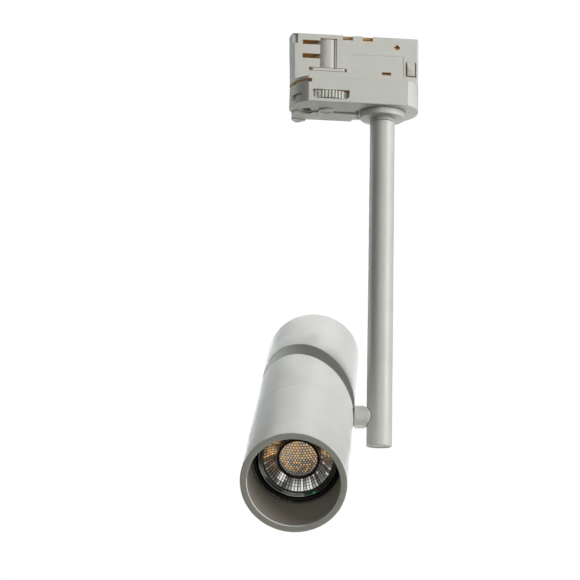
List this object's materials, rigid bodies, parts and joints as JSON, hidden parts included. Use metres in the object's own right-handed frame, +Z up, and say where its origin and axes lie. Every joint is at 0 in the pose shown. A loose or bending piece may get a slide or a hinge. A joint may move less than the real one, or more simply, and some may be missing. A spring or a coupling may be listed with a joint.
{
  "type": "track spotlight",
  "caption": "Track spotlight: adapter with turn-to-lock contacts, stem that pans, cylindrical head that tilts on a side pivot, recessed reflector lamp.",
  "frame": {"origin": "centre of the adapter's flat top face, which lies against the inside of the track", "axes": "+X along the track towards the stem end of the adapter, +Z up out of the top face, -Y is the side the head points to at rest"},
  "size_m": [0.1208, 0.2265, 0.3404],
  "materials": {
    "housing_plastic": "moulded polycarbonate, fine texture, warm grey white",
    "lacquered_metal": "satin powder coat, warm grey white",
    "black_plastic": "matte black",
    "copper": "bare contact copper",
    "steel": "zinc plated",
    "ceramic": "unglazed steatite",
    "cable_sheath": "silicone sheath",
    "reflector": "vacuum metallised, faceted",
    "clear_lens": "clear moulded optic",
    "led_phosphor": "amber phosphor",
    "lens_ring_metal": "satin",
    "lamp_shell": "white heat sink shell"
  },
  "bodies": {
    "adapter": {"adapter_body": "housing_plastic", "adapter_cover": "housing_plastic", "cover_screw_1": "steel", "cover_screw_2": "steel", "copper_strip_upper": "copper", "copper_strip_lower": "copper", "copper_strip_rear": "copper", "terminal_block": "ceramic", "terminal_screw_1": "steel", "terminal_screw_2": "steel", "terminal_screw_3": "steel", "lead_line": "cable_sheath", "lead_neutral": "cable_sheath", "lead_earth": "cable_sheath"},
    "lock": {"contact_drum": "housing_plastic", "contact_blade_a": "copper", "contact_blade_b": "copper", "contact_blade_c": "copper", "contact_blade_d": "copper", "locking_cam": "lacquered_metal", "lock_lever": "housing_plastic"},
    "selector": {"selector_wheel": "housing_plastic"},
    "latch": {"spring_latch": "housing_plastic"},
    "stem": {"stem_flange": "lacquered_metal", "hollow_nipple": "steel", "wave_washer": "steel", "nipple_nut": "steel", "stem_tube": "lacquered_metal", "stem_thread_plug": "steel", "stem_end_cap": "lacquered_metal", "supply_cable": "cable_sheath", "pivot_stub": "lacquered_metal", "pivot_tube": "steel", "pivot_spacer": "black_plastic", "disc_spring": "steel", "pivot_nut": "steel"},
    "head": {"head_body": "lacquered_metal", "rear_can": "lacquered_metal", "neck": "lacquered_metal", "body_screw_a": "steel", "body_screw_b": "steel", "rear_can_screw": "steel", "holder_bracket": "steel", "bracket_screw_a": "steel", "bracket_screw_b": "steel", "holder_screw_a": "steel", "holder_screw_b": "steel", "lamp_holder": "ceramic", "holder_lead_a": "cable_sheath", "holder_lead_b": "cable_sheath", "lamp_sleeve": "black_plastic"},
    "barrel": {"front_barrel": "lacquered_metal"},
    "lamp": {"lamp_body": "lamp_shell", "lamp_pin_a": "steel", "lamp_pin_b": "steel", "led_board": "led_phosphor", "lamp_reflector": "reflector", "lens_ring": "lens_ring_metal", "centre_lens": "clear_lens", "lamp_rim": "clear_lens"}
  },
  "joints": [
    {"name": "stem_pan", "type": "hinge", "parent": "adapter", "child": "stem", "pos_m": [0.0191, 0, -0.0503], "axis": [0, 0, 1], "range_deg": [-175, 175]},
    {"name": "head_tilt", "type": "hinge", "parent": "stem", "child": "head", "pos_m": [-0.02933, 0.0083, -0.2582], "axis": [0.9856, -0.169, 0], "range_deg": [-119.5, 60.4]},
    {"name": "lock_turn", "type": "hinge", "parent": "adapter", "child": "lock", "pos_m": [-0.0196, 0, -0.0333], "axis": [0, 0, 1], "range_deg": [0, 90]},
    {"name": "selector_turn", "type": "hinge", "parent": "adapter", "child": "selector", "pos_m": [-0.0196, 0, -0.045], "axis": [0, 0, 1], "range_deg": [-45, 45]},
    {"name": "latch_flex", "type": "hinge", "parent": "adapter", "child": "latch", "pos_m": [0.03685, -0.00895, -0.01695], "axis": [1, 0, 0], "range_deg": [0, 8]},
    {"name": "barrel_slide", "type": "slide", "parent": "head", "child": "barrel", "axis": [-0.147, -0.8572, -0.4936], "range_m": [0, 0.05]},
    {"name": "lamp_twist", "type": "hinge", "parent": "head", "child": "lamp", "pos_m": [-0.02933, 0.0083, -0.2582], "axis": [-0.147, -0.8572, -0.4936], "range_deg": [0, 25]}
  ]
}
